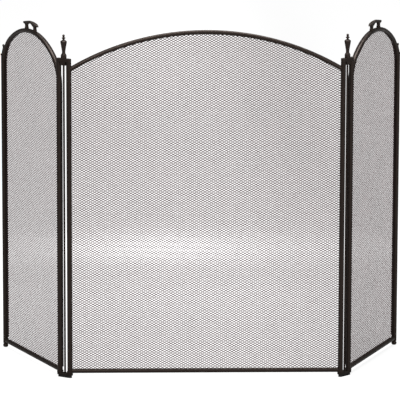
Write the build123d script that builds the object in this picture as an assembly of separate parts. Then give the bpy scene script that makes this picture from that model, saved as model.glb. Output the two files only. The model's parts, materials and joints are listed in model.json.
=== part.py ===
from build123d import *
from math import atan2, cos, hypot, radians, sin, sqrt
import os

# Three-panel folding fireplace screen, in millimetres. Z is up and the room side of the
# middle panel faces -Y. Each wing hangs on a hinge link: a top plate and a bottom plate
# tied together by a rod, pivoting on the middle panel's post at one end and on the wing's
# post at the other. Every panel is first drawn flat, facing -Y, and then turned into place.

# Frame tubes
POST_R = 6.35
RAIL_R = 5.5
WALL = 1.0
RAIL_Y = 0.8
RAIL_Z = 17.2

# Middle panel
POST_X = 338.65
POST_BOTTOM = 11.5
POST_TOP = 801.0
ARCH_END_Z = 781.5
ARCH_APEX_Z = 875.7

# Wings
WING_W = 335.0
SPRING_Z = 736.0
WING_APEX_Z = 850.2
BEND_R = 90.0
OUTER_BOTTOM = 11.0
OUTER_TOP = 764.2

# Hinge links and the angles they stand at
LINK_L = 29.0
LINK_ANGLE = {"left": 32.5, "right": 43.4}
WING_ANGLE = {"left": 64.8, "right": 65.7}
TOP_PLATE_Z = (802.1, 809.5)
BASE_PLATE_Z = (6.5, 10.5)
PLATE_R = 6.35
BASE_R = 7.6
PAD_R = 5.0
WEB_DROP = 9.4
WEB_GAP = 0.5
PAD_Z = (0.0, 6.5)
ROD_R = 2.4
PIN_R = 2.5
PIN_BORE_R = 2.56
SEAT_R = 2.52

# Mesh, its retaining strips and their rivets, all on the fire side
MESH_Y = (6.35, 6.6)
STRIP_Y = (6.6, 8.1)
STRIP_HALF = 3.0
RIVET_R = 1.5
RIVET_BORE_R = 1.55
RIVET_HEAD_R = 2.6
RIVET_END_Y = 4.4

# Handle on the crown of each wing
STUB_R = 4.4
STUB_X = 24.5
GRIP_HALF = 44.0
GRIP_TOP_Z = 875.3

FERRULE_R = 8.0
FERRULE_TOP = 16.0


def rod(r, z0, z1, x=0.0, y=0.0):
    return Pos(x, y, (z0 + z1) / 2) * Cylinder(r, z1 - z0)


def pipe(r, z0, z1, x=0.0):
    return rod(r, z0, z1, x) - rod(r - WALL, z0, z1, x)


def cross_rod(r, x0, x1, y, z):
    return Pos((x0 + x1) / 2, y, z) * Rot(0, 90, 0) * Cylinder(r, x1 - x0)


def along(path, r):
    return sweep(Plane(origin=path @ 0, z_dir=path % 0) * Circle(r), path=path)


def bent_pipe(path, r):
    return along(path, r) - along(path, r - WALL)


def turned(points, x=0.0, y=0.0):
    # Solid of revolution about a vertical axis from (radius, height) points.
    outline = Polyline([(0, points[0][1])] + points + [(0, points[-1][1])], close=True)
    return Pos(x, y, 0) * revolve(make_face(Plane.XZ * outline), Axis.Z)


def slab(face_xz, y0, y1):
    # A face drawn in the XZ plane, thickened from y0 to y1.
    return Pos(0, y1, 0) * extrude(face_xz, amount=y1 - y0, dir=(0, -1, 0))


def strip_bar(x0, z0, x1, z1):
    return Pos((x0 + x1) / 2, sum(STRIP_Y) / 2, (z0 + z1) / 2) * Box(
        x1 - x0, STRIP_Y[1] - STRIP_Y[0], z1 - z0
    )


def rivet(x, z):
    # Domed head on the strip and a shank through strip, mesh and tube wall.
    y = STRIP_Y[1]
    head = Plane.XY * Polyline(
        (0, RIVET_END_Y),
        (RIVET_R, RIVET_END_Y),
        (RIVET_R, y),
        (RIVET_HEAD_R, y),
        (RIVET_HEAD_R * 0.86, y + 0.8),
        (RIVET_HEAD_R * 0.45, y + 1.3),
        (0, y + 1.4),
        close=True,
    )
    return Pos(x, 0, z) * revolve(make_face(head), Axis.Y)


def rivet_bores(places):
    length = STRIP_Y[1] - RIVET_END_Y + 1
    middle = (STRIP_Y[1] + RIVET_END_Y) / 2
    return [Pos(x, middle, z) * Rot(90, 0, 0) * Cylinder(RIVET_BORE_R, length) for x, z in places]


def drilled(solid, places):
    return solid - rivet_bores(places) if places else solid


def post_plug(x, z0, z1, mouth_up):
    # Plug inside the end of a post, bored for the pivot pin.
    bore = (z0 + 4, z1) if mouth_up else (z0, z1 - 4)
    return rod(POST_R - WALL, z0, z1, x) - rod(PIN_BORE_R, bore[0], bore[1], x)


def ferrule(x):
    return rod(FERRULE_R, POST_BOTTOM, FERRULE_TOP, x) - rod(POST_R, POST_BOTTOM, FERRULE_TOP, x)


def spread(a, b, count):
    return [a + (b - a) * i / (count - 1) for i in range(count)]


# ---- Middle panel -------------------------------------------------------------------

RISE = ARCH_APEX_Z - ARCH_END_Z
ARCH_R = (POST_X**2 + RISE**2) / (2 * RISE)
ARCH_C = ARCH_APEX_Z - ARCH_R


def arch_z(x, offset=0.0):
    return ARCH_C + sqrt((ARCH_R + offset) ** 2 - x**2)


def middle_arc(offset, x_end, y):
    return ThreePointArc(
        (-x_end, y, arch_z(x_end, offset)),
        (0, y, ARCH_APEX_Z + offset),
        (x_end, y, arch_z(x_end, offset)),
    )


def middle_strip_face():
    outer = middle_arc(STRIP_HALF, POST_X - 6, 0)
    inner = middle_arc(-STRIP_HALF, POST_X - 6, 0)
    ends = [Line(outer @ 0, inner @ 0), Line(outer @ 1, inner @ 1)]
    return make_face([outer, inner] + ends)


def middle_mesh_face():
    edge = POST_X + 2
    arc = middle_arc(0, edge, 0)
    low = RAIL_Z - 4
    sides = Polyline(arc @ 0, (-edge, 0, low), (edge, 0, low), arc @ 1)
    return make_face([arc, sides])


def middle_panel():
    arch_path = middle_arc(0, POST_X, RAIL_Y)
    posts = {"left": -POST_X, "right": POST_X}
    side_z = spread(70, 730, 6)
    low_x = spread(-270, 270, 6)
    top_x = spread(-250, 250, 6)
    ends = [rod(POST_R, POST_BOTTOM, POST_TOP, x) for x in posts.values()]
    collars = [rod(FERRULE_R, POST_BOTTOM - 1, FERRULE_TOP, x) for x in posts.values()]
    side_rivets = {side: [(x, z) for z in side_z] for side, x in posts.items()}
    low_rivets = [(x, RAIL_Z) for x in low_x]
    top_rivets = [(x, arch_z(x)) for x in top_x]
    all_rivets = side_rivets["left"] + side_rivets["right"] + low_rivets + top_rivets
    parts = {}
    for side, x in posts.items():
        post = pipe(POST_R, POST_BOTTOM, POST_TOP, x)
        parts[f"middle_post_{side}"] = drilled(post, side_rivets[side])
    arch = bent_pipe(arch_path, RAIL_R) - ends
    parts["middle_arch_tube"] = drilled(arch, top_rivets)
    low = cross_rod(RAIL_R, -POST_X, POST_X, RAIL_Y, RAIL_Z)
    low = low - cross_rod(RAIL_R - WALL, -POST_X, POST_X, RAIL_Y, RAIL_Z)
    parts["middle_bottom_rail"] = drilled(low - ends - collars, low_rivets)
    sheet = slab(middle_mesh_face(), MESH_Y[0], MESH_Y[1]) - collars
    parts["middle_mesh"] = drilled(sheet, all_rivets)
    bars = [strip_bar(x - STRIP_HALF, 25, x + STRIP_HALF, 768) for x in posts.values()]
    low_end = POST_X - FERRULE_R - 1
    bars.append(strip_bar(-low_end, RAIL_Z - STRIP_HALF, low_end, RAIL_Z + STRIP_HALF))
    bars.append(slab(middle_strip_face(), STRIP_Y[0], STRIP_Y[1]) - bars[0] - bars[1])
    groups = [side_rivets["left"], side_rivets["right"], low_rivets, top_rivets]
    parts["middle_mesh_strips"] = [drilled(bar, where) for bar, where in zip(bars, groups)]
    parts["middle_rivets"] = [rivet(x, z) for x, z in all_rivets]
    plugs = []
    for x in posts.values():
        plugs.append(post_plug(x, POST_BOTTOM, POST_BOTTOM + 18, False))
        plugs.append(post_plug(x, POST_TOP - 18, POST_TOP, True))
    parts["middle_post_plugs"] = plugs
    parts["middle_post_ferrules"] = [ferrule(x) for x in posts.values()]
    return parts


# ---- Wings --------------------------------------------------------------------------

# The wing's arch is three tangent arcs: a tight bend at each post and a flat crown.
HALF_W = WING_W / 2
WING_RISE = WING_APEX_Z - SPRING_Z
CROWN_R = (HALF_W**2 + WING_RISE**2 - 2 * HALF_W * BEND_R) / (2 * (WING_RISE - BEND_R))
CROWN_C = WING_APEX_Z - CROWN_R
JOIN = hypot(HALF_W - BEND_R, SPRING_Z - CROWN_C)
JOIN_X = (HALF_W - BEND_R) / JOIN
JOIN_Z = (SPRING_Z - CROWN_C) / JOIN


def crown_z(x):
    return CROWN_C + sqrt(CROWN_R**2 - (x - HALF_W) ** 2)


def wing_arch_edges(offset, y):
    bend = BEND_R + offset
    crown = CROWN_R + offset
    knee = (HALF_W - BEND_R + bend * JOIN_X, SPRING_Z + bend * JOIN_Z)
    half = atan2(JOIN_Z, JOIN_X) / 2
    belly = (HALF_W - BEND_R + bend * cos(half), SPRING_Z + bend * sin(half))
    edge = HALF_W + offset
    left = ThreePointArc(
        (HALF_W - edge, y, SPRING_Z),
        (HALF_W - belly[0], y, belly[1]),
        (HALF_W - knee[0], y, knee[1]),
    )
    top = ThreePointArc(
        (HALF_W - knee[0], y, knee[1]),
        (HALF_W, y, CROWN_C + crown),
        (HALF_W + knee[0], y, knee[1]),
    )
    right = ThreePointArc(
        (HALF_W + knee[0], y, knee[1]),
        (HALF_W + belly[0], y, belly[1]),
        (HALF_W + edge, y, SPRING_Z),
    )
    return [left, top, right]


def wing_strip_face():
    outer = wing_arch_edges(STRIP_HALF, 0)
    inner = wing_arch_edges(-STRIP_HALF, 0)
    ends = [Line(outer[0] @ 0, inner[0] @ 0), Line(outer[2] @ 1, inner[2] @ 1)]
    return make_face(outer + inner + ends)


def wing_mesh_face():
    arcs = wing_arch_edges(2, 0)
    low = RAIL_Z - 4
    sides = Polyline(arcs[0] @ 0, (-2, 0, low), (WING_W + 2, 0, low), arcs[2] @ 1)
    return make_face(arcs + [sides])


def grip_profile():
    # Side view of the handle's grip: bowed top, drooping tips, arched finger side.
    x = HALF_W
    top = ThreePointArc(
        (x - GRIP_HALF, 0, GRIP_TOP_Z - 7), (x, 0, GRIP_TOP_Z), (x + GRIP_HALF, 0, GRIP_TOP_Z - 7)
    )
    finger = ThreePointArc(
        (x + 19, 0, GRIP_TOP_Z - 10), (x, 0, GRIP_TOP_Z - 4.6), (x - 19, 0, GRIP_TOP_Z - 10)
    )
    low = GRIP_TOP_Z - 10
    tip = GRIP_TOP_Z - 8.4
    right = Polyline(top @ 1, (x + GRIP_HALF, 0, tip), (x + 30, 0, low), finger @ 0)
    left = Polyline(finger @ 1, (x - 30, 0, low), (x - GRIP_HALF, 0, tip), top @ 0)
    return make_face([top, right, finger, left])


def grip():
    bar = slab(grip_profile(), -6, 6)
    plan = Polyline(
        (-GRIP_HALF, -1.4),
        (-33, -4.4),
        (-14, -4.4),
        (0, -3.6),
        (14, -4.4),
        (33, -4.4),
        (GRIP_HALF, -1.4),
        (GRIP_HALF, 1.4),
        (33, 4.4),
        (14, 4.4),
        (0, 3.6),
        (-14, 4.4),
        (-33, 4.4),
        (-GRIP_HALF, 1.4),
        close=True,
    )
    outline = extrude(make_face(plan), amount=40)
    return bar & (Pos(HALF_W, RAIL_Y, GRIP_TOP_Z - 30) * outline)


def stub(x):
    # Turned pillar whose foot is later cut to sit on the bent tube.
    z = WING_APEX_Z - 2
    points = [(5.2, z), (5.2, z + 9), (STUB_R, z + 10.5), (STUB_R, z + 13.5), (4.9, GRIP_TOP_Z - 10)]
    return turned(points, x, RAIL_Y)


OUTER_FINIAL = [
    (4.6, OUTER_TOP + 3.0),
    (4.6, OUTER_TOP + 5.0),
    (3.9, OUTER_TOP + 9.0),
    (2.7, OUTER_TOP + 14.0),
    (1.8, OUTER_TOP + 18.5),
    (1.8, OUTER_TOP + 21.0),
    (2.7, OUTER_TOP + 22.4),
    (2.9, OUTER_TOP + 24.0),
    (2.5, OUTER_TOP + 25.8),
    (1.3, OUTER_TOP + 27.0),
]

BALL_FOOT = [
    (3.6, 0.0),
    (5.6, 1.2),
    (6.7, 3.6),
    (6.8, 5.6),
    (6.0, 8.2),
    (4.6, 9.6),
    (4.6, 10.2),
    (6.2, 10.4),
    (6.2, OUTER_BOTTOM),
]


def wing():
    inner = rod(POST_R, POST_BOTTOM, POST_TOP, 0)
    outer = rod(POST_R, OUTER_BOTTOM, OUTER_TOP, WING_W)
    collar = rod(FERRULE_R, POST_BOTTOM - 1, FERRULE_TOP, 0)
    side_z = spread(70, 700, 6)
    inner_rivets = [(0, z) for z in side_z]
    outer_rivets = [(WING_W, z) for z in side_z]
    low_rivets = [(x, RAIL_Z) for x in spread(50, WING_W - 50, 4)]
    top_rivets = [(x, crown_z(x)) for x in spread(60, WING_W - 60, 4)]
    parts = {}
    parts["inner_post"] = drilled(pipe(POST_R, POST_BOTTOM, POST_TOP), inner_rivets)
    parts["outer_post"] = drilled(pipe(POST_R, OUTER_BOTTOM, OUTER_TOP, WING_W), outer_rivets)
    path = Wire(wing_arch_edges(0, RAIL_Y))
    arch = bent_pipe(path, RAIL_R) - [inner, outer]
    parts["arch_tube"] = drilled(arch, top_rivets)
    low = cross_rod(RAIL_R, 0, WING_W, RAIL_Y, RAIL_Z)
    low = low - cross_rod(RAIL_R - WALL, 0, WING_W, RAIL_Y, RAIL_Z)
    parts["bottom_rail"] = drilled(low - [inner, outer, collar], low_rivets)
    sheet = slab(wing_mesh_face(), MESH_Y[0], MESH_Y[1]) - collar
    all_rivets = inner_rivets + outer_rivets + low_rivets + top_rivets
    parts["mesh"] = drilled(sheet, all_rivets)
    bars = [
        strip_bar(-STRIP_HALF, 25, STRIP_HALF, SPRING_Z - 0.5),
        strip_bar(WING_W - STRIP_HALF, 25, WING_W + STRIP_HALF, SPRING_Z - 0.5),
        strip_bar(9, RAIL_Z - STRIP_HALF, WING_W - 9, RAIL_Z + STRIP_HALF),
        slab(wing_strip_face(), STRIP_Y[0], STRIP_Y[1]),
    ]
    groups = [inner_rivets, outer_rivets, low_rivets, top_rivets]
    parts["mesh_strips"] = [drilled(bar, where) for bar, where in zip(bars, groups)]
    parts["rivets"] = [rivet(x, z) for x, z in all_rivets]
    parts["inner_plugs"] = [
        post_plug(0, POST_BOTTOM, POST_BOTTOM + 18, False),
        post_plug(0, POST_TOP - 18, POST_TOP, True),
    ]
    parts["inner_ferrule"] = ferrule(0)
    # The cap and the small finial are notched where the bent tube leans against them.
    crown = along(path, RAIL_R)
    cap = turned([(8.0, OUTER_TOP), (8.0, OUTER_TOP + 2.0), (7.0, OUTER_TOP + 3.0)], WING_W)
    cap = cap - Pos(WING_W, MESH_Y[0] + 5, OUTER_TOP) * Box(30, 10, 30) - crown
    parts["outer_cap"] = cap + rod(POST_R - WALL, OUTER_TOP - 8, OUTER_TOP, WING_W)
    parts["outer_finial"] = turned(OUTER_FINIAL, WING_W) - crown
    foot_spigot = rod(POST_R - WALL, OUTER_BOTTOM, OUTER_BOTTOM + 8, WING_W)
    parts["outer_foot"] = turned(BALL_FOOT, WING_W) + foot_spigot
    parts["handle_stubs"] = [stub(HALF_W + x) - crown for x in (-STUB_X, STUB_X)]
    parts["handle_grip"] = grip()
    return parts


# ---- Hinge links --------------------------------------------------------------------

# Radius and height above the top plate.
HINGE_FINIAL = [
    (6.8, 0.0),
    (7.2, 1.5),
    (7.2, 8.0),
    (6.2, 9.6),
    (6.2, 10.6),
    (4.6, 12.5),
    (4.2, 15.0),
    (4.4, 19.0),
    (5.8, 28.0),
    (7.6, 38.0),
    (8.0, 40.5),
    (7.9, 43.0),
    (6.2, 44.6),
    (3.3, 46.2),
    (2.6, 48.0),
    (2.9, 49.4),
    (4.8, 50.4),
    (4.8, 51.8),
    (2.8, 52.8),
    (2.2, 53.8),
    (3.0, 55.2),
    (3.3, 56.9),
    (2.8, 58.6),
    (1.3, 59.8),
]


def stadium(r, z0, z1):
    # A plate with round ends centred on the two pivots.
    middle = Pos(LINK_L / 2, 0, (z0 + z1) / 2) * Box(LINK_L, 2 * r, z1 - z0)
    return middle + rod(r, z0, z1, 0) + rod(r, z0, z1, LINK_L)


def hinge_link():
    pivots = (0.0, LINK_L)
    centre = LINK_L / 2
    # The top plate has a block under it that hangs down between the two posts.
    block = LINK_L - 2 * (POST_R + WEB_GAP)
    web = Pos(centre, 0, TOP_PLATE_Z[0] - WEB_DROP / 2) * Box(block, 1.6 * PLATE_R, WEB_DROP)
    top = stadium(PLATE_R, *TOP_PLATE_Z) + web
    base = stadium(BASE_R, *BASE_PLATE_Z)
    seat = TOP_PLATE_Z[1] - 2
    top = top - [rod(SEAT_R, TOP_PLATE_Z[0], seat, x) for x in pivots]
    top = top - rod(ROD_R, TOP_PLATE_Z[0] - WEB_DROP, TOP_PLATE_Z[1], centre)
    base = base - [rod(SEAT_R, *BASE_PLATE_Z, x) for x in pivots]
    base = base - rod(ROD_R, *BASE_PLATE_Z, centre)
    finial = Pos(0, 0, TOP_PLATE_Z[1]) * turned(HINGE_FINIAL, centre)
    finial = finial - rod(ROD_R, TOP_PLATE_Z[1], TOP_PLATE_Z[1] + 10, centre)
    pins = []
    washers = []
    for x in pivots:
        pins.append(rod(PIN_R, BASE_PLATE_Z[0], POST_BOTTOM + 12, x))
        pins.append(rod(PIN_R, POST_TOP - 12, seat, x))
        washers.append(rod(5.6, BASE_PLATE_Z[1], BASE_PLATE_Z[1] + 0.8, x))
        washers.append(rod(5.6, TOP_PLATE_Z[0] - 0.8, TOP_PLATE_Z[0], x))
    bores = [rod(SEAT_R, 0, 900, x) for x in pivots]
    return {
        "top_plate": top,
        "base_plate": base,
        "rod": rod(ROD_R, BASE_PLATE_Z[0], TOP_PLATE_Z[1] + 10, centre),
        "finial": finial,
        "pivot_pins": pins,
        "washers": [washer - bores for washer in washers],
        "foot_pad": stadium(PAD_R, *PAD_Z),
    }


# ---- Assembly -----------------------------------------------------------------------


def solids_of(item):
    items = item if isinstance(item, list) else [item]
    return [solid for shape in items for solid in shape.solids()]


def placed(parts, prefix, side, place):
    # Drawn for the right side; the left side is its mirror image.
    result = {}
    for name, item in parts.items():
        solids = solids_of(item)
        if side == "left":
            solids = [mirror(solid, Plane.YZ).solid() for solid in solids]
        result[f"{prefix}_{side}_{name}"] = [place * solid for solid in solids]
    return result


nodes = {name: solids_of(item) for name, item in middle_panel().items()}
link_parts = hinge_link()
wing_parts = wing()
pivots_at = {}
for side, sign in (("left", -1), ("right", 1)):
    link_turn = LINK_ANGLE[side]
    wing_turn = WING_ANGLE[side]
    end_x = sign * (POST_X + LINK_L * cos(radians(link_turn)))
    end_y = LINK_L * sin(radians(link_turn))
    pivots_at[side] = [(sign * POST_X, 0.0), (end_x, end_y)]
    link_place = Pos(sign * POST_X, 0, 0) * Rot(0, 0, sign * link_turn)
    wing_place = Pos(end_x, end_y, 0) * Rot(0, 0, sign * wing_turn)
    nodes.update(placed(link_parts, "hinge", side, link_place))
    nodes.update(placed(wing_parts, "wing", side, wing_place))

# The origin is the middle of the overall footprint, on the floor.
extent = Compound([solid for solids in nodes.values() for solid in solids]).bounding_box()
origin = Pos(-(extent.min.X + extent.max.X) / 2, -(extent.min.Y + extent.max.Y) / 2, 0)
print("origin shift", origin.position)
print("size", extent.size)
print("pivots before the shift", pivots_at)

os.makedirs("parts", exist_ok=True)
for name, solids in nodes.items():
    moved = [origin * solid for solid in solids]
    shape = moved[0] if len(moved) == 1 else Compound(moved)
    export_step(shape, f"parts/{name}.step")
print(len(nodes), "parts")
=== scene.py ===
import json
import math
import random

import bpy
from mathutils import Matrix, Vector
from mathutils.bvhtree import BVHTree


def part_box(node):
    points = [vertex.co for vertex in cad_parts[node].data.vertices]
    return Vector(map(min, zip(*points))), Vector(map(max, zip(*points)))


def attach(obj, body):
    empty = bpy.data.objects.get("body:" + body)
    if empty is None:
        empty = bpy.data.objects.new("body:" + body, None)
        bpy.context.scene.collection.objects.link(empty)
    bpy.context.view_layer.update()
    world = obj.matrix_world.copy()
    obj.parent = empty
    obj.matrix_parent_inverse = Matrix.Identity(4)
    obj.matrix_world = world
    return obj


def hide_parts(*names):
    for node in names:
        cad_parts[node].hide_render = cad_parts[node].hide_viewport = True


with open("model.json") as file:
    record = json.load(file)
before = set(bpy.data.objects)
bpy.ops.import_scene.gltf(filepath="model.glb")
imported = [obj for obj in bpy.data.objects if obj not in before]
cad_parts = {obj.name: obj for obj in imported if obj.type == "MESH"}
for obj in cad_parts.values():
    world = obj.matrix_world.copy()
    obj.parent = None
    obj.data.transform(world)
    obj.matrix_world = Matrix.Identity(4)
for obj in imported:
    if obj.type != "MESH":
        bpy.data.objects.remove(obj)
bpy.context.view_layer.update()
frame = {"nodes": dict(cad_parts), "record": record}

MM = 0.001
SIDES = ("left", "right")


# ---- Where the panels stand ---------------------------------------------------------


def axis_of(node):
    # Foot of a post's own axis, from its box.
    lo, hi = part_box(node)
    return Vector(((lo.x + hi.x) / 2, (lo.y + hi.y) / 2, 0))


class Panel:
    """A panel's flat frame: s along the panel, z up, n out of its fire side."""

    def __init__(self, body, first, last, turn):
        self.body = body
        self.origin = axis_of(first)
        run = axis_of(last) - self.origin
        self.width = run.length
        self.along = run.normalized()
        self.out = Vector((-self.along.y, self.along.x, 0)) * turn

    def at(self, s, z, n):
        return self.origin + self.along * s + self.out * n + Vector((0, 0, z))


middle = Panel("middle_panel", "middle_post_left", "middle_post_right", 1)
wings = {
    "left": Panel("wing_left", "wing_left_inner_post", "wing_left_outer_post", -1),
    "right": Panel("wing_right", "wing_right_inner_post", "wing_right_outer_post", 1),
}


# ---- Materials ----------------------------------------------------------------------


class Shader:
    """Small helper that adds nodes to one material and links them."""

    def __init__(self, name):
        self.mat = bpy.data.materials.new(name)
        self.mat.use_nodes = True
        self.tree = self.mat.node_tree
        self.tree.nodes.clear()
        self.out = self.tree.nodes.new("ShaderNodeOutputMaterial")
        self.bsdf = self.tree.nodes.new("ShaderNodeBsdfPrincipled")
        self.tree.links.new(self.bsdf.outputs[0], self.out.inputs["Surface"])
        self.coord = self.tree.nodes.new("ShaderNodeTexCoord").outputs["Object"]

    def put(self, socket, value):
        if isinstance(value, bpy.types.NodeSocket):
            self.tree.links.new(value, socket)
        else:
            socket.default_value = value

    def noise(self, scale, detail=4.0, rough=0.55, stretch=None):
        node = self.tree.nodes.new("ShaderNodeTexNoise")
        node.inputs["Scale"].default_value = scale
        node.inputs["Detail"].default_value = detail
        node.inputs["Roughness"].default_value = rough
        coord = self.coord
        if stretch:
            mapping = self.tree.nodes.new("ShaderNodeMapping")
            mapping.inputs["Scale"].default_value = stretch
            self.put(mapping.inputs["Vector"], coord)
            coord = mapping.outputs[0]
        self.put(node.inputs["Vector"], coord)
        return node.outputs["Fac"]

    def cells(self, scale):
        node = self.tree.nodes.new("ShaderNodeTexVoronoi")
        node.inputs["Scale"].default_value = scale
        self.put(node.inputs["Vector"], self.coord)
        return node.outputs["Distance"]

    def band(self, value, lo, hi, to_lo=0.0, to_hi=1.0):
        node = self.tree.nodes.new("ShaderNodeMapRange")
        node.clamp = True
        limits = {"From Min": lo, "From Max": hi, "To Min": to_lo, "To Max": to_hi}
        for name, number in limits.items():
            node.inputs[name].default_value = number
        self.put(node.inputs["Value"], value)
        return node.outputs[0]

    def maths(self, kind, a, b):
        node = self.tree.nodes.new("ShaderNodeMath")
        node.operation = kind
        self.put(node.inputs[0], a)
        self.put(node.inputs[1], b)
        return node.outputs[0]

    def mix(self, factor, a, b):
        node = self.tree.nodes.new("ShaderNodeMix")
        node.data_type = "RGBA"
        self.put(node.inputs[0], factor)
        self.put(node.inputs[6], a)
        self.put(node.inputs[7], b)
        return node.outputs[2]

    def up_facing(self):
        normal = self.tree.nodes.new("ShaderNodeNewGeometry").outputs["Normal"]
        split = self.tree.nodes.new("ShaderNodeSeparateXYZ")
        self.put(split.inputs[0], normal)
        return split.outputs["Z"]

    def bump(self, height, distance, strength=1.0, under=None):
        node = self.tree.nodes.new("ShaderNodeBump")
        node.inputs["Strength"].default_value = strength
        node.inputs["Distance"].default_value = distance
        self.put(node.inputs["Height"], height)
        if under is not None:
            self.put(node.inputs["Normal"], under)
        return node.outputs[0]


def rgb(r, g, b):
    return (r, g, b, 1.0)


SHEEN = rgb(1.0, 0.80, 0.70)
DUST = rgb(0.30, 0.27, 0.24)
BRONZE = rgb(0.115, 0.078, 0.058)
WORN_STEEL = rgb(0.30, 0.27, 0.24)

# Layers of a coat, each a noise: its scale per metre, its detail and its roughness.
BLOTCH = (14.0, 6.0, 0.6)
SPECK = (1500.0, 2.0, 0.5)
GLOSS_PATCH = (46.0, 5.0, 0.65)
RUBBING = (75.0, 9.0, 0.72)
SETTLING = (120.0, 7.0, 0.7)
PEEL_FINE = (520.0, 3.0, 0.5)
PEEL_WIDE = (60.0, 2.0, 0.5)
# How strongly the flake shows, and how many pits there are to a metre.
FLAKE = 0.35
PIT_SCALE = 640.0


def coated(name, dark, light, rough, peel, specular, wear, dust=0.12, pits=0.0):
    """A dark powder coat: uneven tone, orange peel, flake, rubbed spots and a little dust.

    wear is the colour under the coat, the noise band that is rubbed, and how far it is rubbed.
    """
    sh = Shader(name)
    blotch = sh.noise(*BLOTCH)
    speck = sh.noise(*SPECK)
    colour = sh.mix(sh.band(blotch, 0.32, 0.68), dark, light)
    pale = tuple(min(1.0, c * 2.1) for c in light[:3]) + (1.0,)
    colour = sh.mix(sh.band(speck, 0.60, 0.74, 0.0, FLAKE), colour, pale)
    roughness = sh.band(sh.noise(*GLOSS_PATCH), 0.30, 0.70, *rough)
    under, low, high, amount = wear
    rubbed = sh.band(sh.noise(*RUBBING), low, high, 0.0, amount)
    colour = sh.mix(rubbed, colour, under)
    roughness = sh.maths("SUBTRACT", roughness, sh.maths("MULTIPLY", rubbed, 0.12))
    settled = sh.band(sh.up_facing(), 0.35, 0.95)
    patches = sh.band(sh.noise(*SETTLING), 0.40, 0.72, 0.0, dust)
    settled = sh.maths("MULTIPLY", settled, patches)
    colour = sh.mix(settled, colour, DUST)
    roughness = sh.maths("ADD", roughness, sh.maths("MULTIPLY", settled, 0.8))
    normal = sh.bump(sh.noise(*PEEL_FINE), peel)
    normal = sh.bump(sh.noise(*PEEL_WIDE), peel * 2.5, 0.6, normal)
    if pits:
        normal = sh.bump(sh.band(sh.cells(PIT_SCALE), 0.0, 0.45), pits, 0.8, normal)
    sh.put(sh.bsdf.inputs["Base Color"], colour)
    sh.put(sh.bsdf.inputs["Roughness"], roughness)
    sh.put(sh.bsdf.inputs["Metallic"], sh.maths("MULTIPLY", rubbed, 0.5))
    sh.put(sh.bsdf.inputs["Normal"], normal)
    sh.bsdf.inputs["Specular IOR Level"].default_value = specular
    sh.bsdf.inputs["Specular Tint"].default_value = SHEEN
    return sh.mat


def turned_steel(name):
    """Bare steel with fine rings round the turning axis and dull spots."""
    sh = Shader(name)
    rings = sh.noise(60.0, 3.0, 0.6, (1.0, 1.0, 60.0))
    stain = sh.noise(110.0, 6.0, 0.6)
    colour = sh.mix(sh.band(stain, 0.35, 0.7), rgb(0.52, 0.51, 0.50), rgb(0.33, 0.31, 0.29))
    sh.put(sh.bsdf.inputs["Base Color"], colour)
    sh.put(sh.bsdf.inputs["Roughness"], sh.band(rings, 0.3, 0.7, 0.24, 0.46))
    sh.put(sh.bsdf.inputs["Normal"], sh.bump(rings, 0.00004, 0.6))
    sh.bsdf.inputs["Metallic"].default_value = 1.0
    return sh.mat


def moulded(name, dark, light, rough, grain, size):
    """Moulded rubber or nylon: fine grain and pale scuffs."""
    sh = Shader(name)
    scuff = sh.noise(150.0, 8.0, 0.7)
    colour = sh.mix(sh.band(sh.noise(40.0), 0.35, 0.65), dark, light)
    colour = sh.mix(sh.band(scuff, 0.58, 0.72, 0.0, 0.25), colour, rgb(0.16, 0.15, 0.14))
    normal = sh.bump(sh.cells(size), grain)
    normal = sh.bump(scuff, grain * 2, 0.5, normal)
    sh.put(sh.bsdf.inputs["Base Color"], colour)
    sh.put(sh.bsdf.inputs["Roughness"], sh.band(scuff, 0.3, 0.7, rough[0], rough[1]))
    sh.put(sh.bsdf.inputs["Normal"], normal)
    sh.bsdf.inputs["Specular IOR Level"].default_value = 0.35
    return sh.mat


FRAME_DARK, FRAME_LIGHT = rgb(0.0074, 0.0050, 0.0042), rgb(0.0118, 0.0076, 0.0062)
HINGE_DARK, HINGE_LIGHT = rgb(0.0076, 0.0050, 0.0043), rgb(0.0132, 0.0085, 0.0069)
CAST_DARK, CAST_LIGHT = rgb(0.0074, 0.0049, 0.0042), rgb(0.0136, 0.0088, 0.0071)
WIRE_DARK, WIRE_LIGHT = rgb(0.1050, 0.0640, 0.0675), rgb(0.1550, 0.0960, 0.1015)
RIVET_DARK, RIVET_LIGHT = rgb(0.0130, 0.0088, 0.0075), rgb(0.0220, 0.0145, 0.0120)
BASE_DARK, BASE_LIGHT = rgb(0.0042, 0.0036, 0.0034), rgb(0.0085, 0.0070, 0.0064)

# name, dark and light tone, roughness, orange peel in metres, specular level, wear, extras
COATS = (
    ("frame_paint", FRAME_DARK, FRAME_LIGHT, (0.32, 0.46), 0.00005, 0.42, (BRONZE, 0.665, 0.72, 0.35),
     {}),
    ("hinge_paint", HINGE_DARK, HINGE_LIGHT, (0.38, 0.55), 0.00006, 0.42, (BRONZE, 0.60, 0.68, 0.55),
     {"dust": 0.18}),
    ("castings", CAST_DARK, CAST_LIGHT, (0.38, 0.58), 0.00009, 0.45, (BRONZE, 0.60, 0.70, 0.45),
     {"pits": 0.00006}),
    ("mesh_wire", WIRE_DARK, WIRE_LIGHT, (0.42, 0.60), 0.00003, 0.40, (BRONZE, 0.60, 0.70, 0.35),
     {"dust": 0.10}),
    ("rivet_heads", RIVET_DARK, RIVET_LIGHT, (0.34, 0.50), 0.00003, 0.50, (WORN_STEEL, 0.60, 0.68, 0.5),
     {}),
    ("base_coat", BASE_DARK, BASE_LIGHT, (0.46, 0.64), 0.00008, 0.36, (BRONZE, 0.62, 0.70, 0.30), {}),
    ("weld_coat", HINGE_DARK, HINGE_LIGHT, (0.40, 0.60), 0.00008, 0.42, (BRONZE, 0.58, 0.68, 0.4),
     {"pits": 0.00008}),
)
FINISH = {name: coated(name, *look, **extras) for name, *look, extras in COATS}
FINISH["pin_steel"] = turned_steel("pin_steel")
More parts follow.
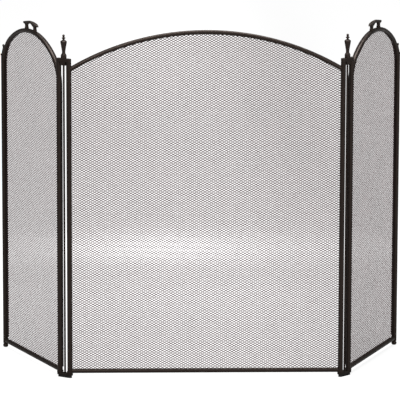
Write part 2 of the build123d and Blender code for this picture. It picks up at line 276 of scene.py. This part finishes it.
NYLON = (rgb(0.018, 0.018, 0.018), rgb(0.030, 0.029, 0.028))
RUBBER = (rgb(0.0080, 0.0078, 0.0076), rgb(0.0170, 0.0160, 0.0150))
FINISH["washer_nylon"] = moulded("washer_nylon", *NYLON, (0.42, 0.58), 0.00002, 1800.0)
FINISH["pad_rubber"] = moulded("pad_rubber", *RUBBER, (0.62, 0.85), 0.00006, 1300.0)

for part in frame["record"]["subparts"]:
    # The base plates are blacker than the frames.
    slot = "base_coat" if part["node"].endswith("base_plate") else part["material_slot"]
    data = frame["nodes"][part["node"]].data
    data.materials.clear()
    data.materials.append(FINISH[slot])


def piece(name, verts, faces, panel, finish, smooth=False):
    mesh = bpy.data.meshes.new(name)
    mesh.from_pydata(verts, [], faces)
    mesh.validate()
    mesh.update()
    if smooth:
        mesh.polygons.foreach_set("use_smooth", [True] * len(mesh.polygons))
    mesh.materials.append(finish)
    obj = bpy.data.objects.new(name, mesh)
    bpy.context.scene.collection.objects.link(obj)
    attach(obj, panel.body)
    return obj


# ---- Diamond mesh -------------------------------------------------------------------

# Each strand runs across the panel in a zigzag and meets the next one at every other corner.
CELL_W = 10.53 * MM
CELL_H = 6.15 * MM
SWING = CELL_H / 4 - 0.16 * MM
# Half of what a sloping strand covers in height, its thickness, how far its upper edge leans
# out, and how far its flat corners sit off its middle as a share of the half height.
STRAND_HALF = 0.87 * MM
STRAND_T = 1.50 * MM
STRAND_TILT = 0.20 * MM
CORNER_SHIFT = 0.1
# The sheet's middle, out from the posts' axes.
SHEET_N = 6.475 * MM
# Amplitudes of the sheet's unevenness along, up and out.
DRIFT_S, DRIFT_Z, DRIFT_N = 0.16 * MM, 0.14 * MM, 0.06 * MM
# A ray that looks for the sheet starts PROBE out on its fire side and is PROBE_REACH long.
PROBE, PROBE_REACH = 0.05, 0.06
EDGE_HALVINGS = 7


class Sheet:
    """Tells which points of a panel its CAD mesh sheet covers."""

    def __init__(self, panel, node):
        self.panel = panel
        data = frame["nodes"][node].data
        self.tree = BVHTree.FromPolygons(
            [v.co.copy() for v in data.vertices], [tuple(p.vertices) for p in data.polygons]
        )
        heights = [v.co.z for v in data.vertices]
        self.low, self.high = min(heights), max(heights)

    def covers(self, s, z):
        start = self.panel.at(s, z, PROBE)
        return self.tree.ray_cast(start, -self.panel.out, PROBE_REACH)[0] is not None

    def edge(self, inside, outside):
        # Last point of a strand before the sheet ends.
        for _ in range(EDGE_HALVINGS):
            half = ((inside[0] + outside[0]) / 2, (inside[1] + outside[1]) / 2)
            if self.covers(*half):
                inside = half
            else:
                outside = half
        return inside


def drift(s, z, phase):
    # Slow, slight unevenness of a stretched sheet, in its own plane and out of it.
    a = math.sin(s * 13.0 + z * 4.0 + phase) * math.sin(z * 9.0 - s * 3.0 + phase * 2)
    b = math.sin(s * 7.0 - z * 11.0 + phase * 3)
    c = math.sin(s * 31.0 + phase) * math.sin(z * 27.0 + phase * 1.7)
    return DRIFT_S * a, DRIFT_Z * b, DRIFT_N * c


def strand_runs(sheet, row, phase):
    """The stretches of one strand that lie on the sheet, as lists of (s, z, n)."""
    height = sheet.low + row * CELL_H / 2
    count = int(sheet.panel.width / (CELL_W / 2)) + 4
    runs, run, before = [], [], None
    for i in range(-2, count):
        s = i * CELL_W / 2
        z = height + (SWING if (i + row) % 2 else -SWING)
        ds, dz, dn = drift(s, z, phase)
        point = (s + ds, z + dz)
        inside = sheet.covers(*point)
        if inside:
            if not run and before is not None:
                end = sheet.edge(point, before)
                run.append((*end, dn))
            run.append((*point, dn))
        elif run:
            end = sheet.edge(run[-1][:2], point)
            run.append((*end, dn))
            runs.append(run)
            run = []
        before = point
    if run:
        runs.append(run)
    return [r for r in runs if len(r) > 1]


def strands(name, panel, sheet, rows, phase, rng):
    verts, faces = [], []
    for row in rows:
        for run in strand_runs(sheet, row, phase):
            first = len(verts)
            lift = rng.uniform(-0.03, 0.03) * MM
            for s, z, dn in run:
                wide = STRAND_HALF * rng.uniform(0.92, 1.08)
                n = SHEET_N + dn + lift
                verts.append(panel.at(s, z + wide, n + STRAND_TILT))
                verts.append(panel.at(s, z + wide * CORNER_SHIFT, n + STRAND_T / 2))
                verts.append(panel.at(s, z - wide, n - STRAND_TILT))
                verts.append(panel.at(s, z - wide * CORNER_SHIFT, n - STRAND_T / 2))
            for i in range(len(run) - 1):
                a = first + 4 * i
                for k in range(4):
                    j = (k + 1) % 4
                    faces.append((a + k, a + j, a + 4 + j, a + 4 + k))
            last = first + 4 * (len(run) - 1)
            faces.append((first + 3, first + 2, first + 1, first))
            faces.append((last, last + 1, last + 2, last + 3))
    return piece(name, verts, faces, panel, FINISH["mesh_wire"])


def row_count(sheet):
    return int((sheet.high - sheet.low) / (CELL_H / 2)) + 2


rng = random.Random(41)
sheet = Sheet(middle, "middle_mesh")
rows = row_count(sheet)
lower = strands("middle_strands_lower", middle, sheet, range(0, rows // 2), 0.6, rng)
upper = strands("middle_strands_upper", middle, sheet, range(rows // 2, rows), 0.6, rng)
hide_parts("middle_mesh")
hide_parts("middle_mesh")
for side, phase in zip(SIDES, (2.1, 3.7)):
    sheet = Sheet(wings[side], f"wing_{side}_mesh")
    net = strands(f"wing_{side}_strands", wings[side], sheet, range(row_count(sheet)), phase, rng)
    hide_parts(f"wing_{side}_mesh")


# ---- Weld beads ---------------------------------------------------------------------

POST_R = 6.35 * MM
RAIL_R = 5.5 * MM
RAIL_N = 0.8 * MM
BEAD_R = 0.85 * MM
# How far the arch's axis meets a post's axis below the post's top.
ARCH_END_DROP = 19.5 * MM


def bead(panel, s_post, side_sign, z, rise, rng, verts, faces):
    """A coated weld round a tube where it meets a post at a rise, with uneven ripples."""
    steps, ring = 60, 8
    axial = Vector((side_sign * math.cos(rise), math.sin(rise), 0))
    first = len(verts)
    centres = []
    for i in range(steps):
        t = 2 * math.pi * i / steps
        n = RAIL_N + RAIL_R * math.cos(t)
        lift = RAIL_R * math.sin(t)
        reach = math.sqrt(max(POST_R**2 - n**2, 0.0))
        run = (reach + lift * math.sin(rise)) / math.cos(rise)
        s = s_post + side_sign * (run * math.cos(rise) - lift * math.sin(rise))
        height = z + run * math.sin(rise) + lift * math.cos(rise)
        centres.append((s, height, n))
    for i in range(steps):
        t = 2 * math.pi * i / steps
        s, height, n = centres[i]
        ripple = 1.0 + 0.16 * math.sin(t * 15) + rng.uniform(-0.05, 0.05)
        upward = math.sin(t)
        radial = Vector((-side_sign * math.sin(rise) * upward, math.cos(rise) * upward, math.cos(t)))
        for k in range(ring):
            a = 2 * math.pi * k / ring
            off = (radial * math.cos(a) + axial * math.sin(a)) * BEAD_R * ripple
            verts.append(panel.at(s + off.x, height + off.y, n + off.z))
    for i in range(steps):
        for k in range(ring):
            a = first + i * ring
            b = first + ((i + 1) % steps) * ring
            j = (k + 1) % ring
            faces.append((a + k, a + j, b + j, b + k))


verts, faces = [], []
arch_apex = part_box("middle_arch_tube")[1].z - RAIL_R
arch_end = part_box("middle_post_left")[1].z - ARCH_END_DROP
arch_rise = arch_apex - arch_end
arch_half = middle.width / 2
arch_radius = (arch_half**2 + arch_rise**2) / (2 * arch_rise)
arch_slope = math.asin(arch_half / arch_radius)
for s_post, sign in ((0.0, 1), (middle.width, -1)):
    bead(middle, s_post, sign, arch_end, arch_slope, rng, verts, faces)
piece("middle_weld_beads", verts, faces, middle, FINISH["weld_coat"], smooth=True)


# ---- Floor, lights and camera -------------------------------------------------------

FLOOR = 40.0
corners = [(-FLOOR, -FLOOR, 0), (FLOOR, -FLOOR, 0), (FLOOR, FLOOR, 0), (-FLOOR, FLOOR, 0)]
floor_mesh = bpy.data.meshes.new("floor")
floor_mesh.from_pydata(corners, [], [(0, 1, 2, 3)])
floor = bpy.data.objects.new("floor", floor_mesh)
bpy.context.scene.collection.objects.link(floor)


def seen_or_cast(sh, seen, cast):
    # A glow that lights the object with strength cast, and that the camera sees by seen brighter.
    ray = sh.tree.nodes.new("ShaderNodeLightPath").outputs["Is Camera Ray"]
    return sh.maths("ADD", sh.maths("MULTIPLY", ray, seen), cast)


paper = Shader("floor_paper")
tone = paper.mix(paper.noise(3.0, 4.0), rgb(0.24, 0.24, 0.24), rgb(0.26, 0.26, 0.26))
paper.put(paper.bsdf.inputs["Base Color"], tone)
paper.bsdf.inputs["Roughness"].default_value = 0.9
paper.bsdf.inputs["Specular IOR Level"].default_value = 0.1
paper.bsdf.inputs["Emission Color"].default_value = rgb(1, 1, 1)
place = paper.tree.nodes.new("ShaderNodeSeparateXYZ")
paper.put(place.inputs[0], paper.coord)


def pool(x, y, wide, deep, power):
    """A soft oval pool of painted light on the floor's glow; a power below zero paints shade there
    instead.
    """
    dx = paper.maths("DIVIDE", paper.maths("SUBTRACT", place.outputs["X"], x), wide)
    dy = paper.maths("DIVIDE", paper.maths("SUBTRACT", place.outputs["Y"], y), deep)
    far = paper.maths("ADD", paper.maths("MULTIPLY", dx, dx), paper.maths("MULTIPLY", dy, dy))
    fade = paper.maths("EXPONENT", paper.maths("MULTIPLY", far, -1.0), 0.0)
    return paper.maths("MULTIPLY", fade, power)


# x, y, width, depth and strength of each painted pool: painted light in a bright line and a hot
# spot in it, a broad glow before it and a far glow, and painted shade on the floor towards each side.
PAINTED_POOLS = (
    (0.04, 1.29, 0.75, 0.20, 0.20),
    (-0.08, 1.29, 0.22, 0.19, 0.46),
    (-0.03, 0.72, 0.35, 0.26, 0.13),
    (-0.05, 4.60, 0.30, 1.20, 0.16),
    (0.42, 2.00, 0.20, 2.60, -0.15),
    (-0.42, 2.20, 0.26, 2.60, -0.07),
)
# The floor's own glow: what the camera sees on top of what falls on the object, and the latter.
SEEN_GLOW, CAST_GLOW = 0.70, 0.22
# The surroundings' strength as they light the object and as the camera sees them.
CAST_SKY, SEEN_SKY = 0.15, 1.02
# The painted light and painted shade of all the pools, added to the floor's glow.
glow = 0.0
for spot in PAINTED_POOLS:
    glow = paper.maths("ADD", glow, pool(*spot))
base_glow = seen_or_cast(paper, SEEN_GLOW, CAST_GLOW)
paper.put(paper.bsdf.inputs["Emission Strength"], paper.maths("ADD", base_glow, glow))
floor_mesh.materials.append(paper.mat)

world = bpy.data.worlds.new("studio")
bpy.context.scene.world = world
world.use_nodes = True
sky = world.node_tree.nodes["Background"]
sky.inputs["Color"].default_value = rgb(1, 1, 1)
ray = world.node_tree.nodes.new("ShaderNodeLightPath")
power = world.node_tree.nodes.new("ShaderNodeMapRange")
power.inputs["To Min"].default_value = CAST_SKY
power.inputs["To Max"].default_value = SEEN_SKY
world.node_tree.links.new(ray.outputs["Is Camera Ray"], power.inputs["Value"])
world.node_tree.links.new(power.outputs[0], sky.inputs["Strength"])

home = (middle.origin + middle.at(middle.width, 0, 0)) / 2
aim = home + Vector((0, 0.1, 0.45))


def softbox(name, place, size, power):
    light = bpy.data.lights.new(name, "AREA")
    light.shape = "RECTANGLE"
    light.size, light.size_y = size
    light.energy = power
    obj = bpy.data.objects.new(name, light)
    obj.location = home + Vector(place)
    obj.rotation_euler = (aim - obj.location).to_track_quat("-Z", "Y").to_euler()
    bpy.context.scene.collection.objects.link(obj)


softbox("key", (-1.6, -4.2, 3.2), (1.6, 1.2), 104)
softbox("fill", (2.6, -3.8, 2.0), (1.2, 1.6), 66)
softbox("top", (0.0, 0.4, 4.0), (3.0, 2.0), 165)

# The camera stands before the middle panel, a little to its left, looking slightly down.
# FOCAL is its focal length in a picture WIDTH across.
FOCAL = 4027.06
WIDTH = 400
CAMERA_PLACE = Vector((-0.28199, -9.76582, 2.55164))
PITCH, YAW, ROLL = (math.radians(a) for a in (12.12, -1.57, 0.15))
camera_data = bpy.data.cameras.new("camera")
camera_data.sensor_width = 36.0
camera_data.lens = camera_data.sensor_width * FOCAL / WIDTH
camera_data.clip_start = 0.5
camera_data.clip_end = 120.0
camera = bpy.data.objects.new("camera", camera_data)
turn = Matrix.Rotation(YAW, 3, "Z")
right = turn @ Vector((1, 0, 0))
ahead = turn @ Vector((0, math.cos(PITCH), -math.sin(PITCH)))
up = right.cross(ahead)
side = right * math.cos(ROLL) + up * math.sin(ROLL)
top = up * math.cos(ROLL) - right * math.sin(ROLL)
stand = Matrix((side, top, -ahead)).transposed().to_4x4()
stand.translation = home + CAMERA_PLACE
camera.matrix_world = stand
bpy.context.scene.collection.objects.link(camera)
bpy.context.scene.camera = camera

bpy.context.scene.view_settings.view_transform = "Standard"
bpy.context.scene.view_settings.look = "None"
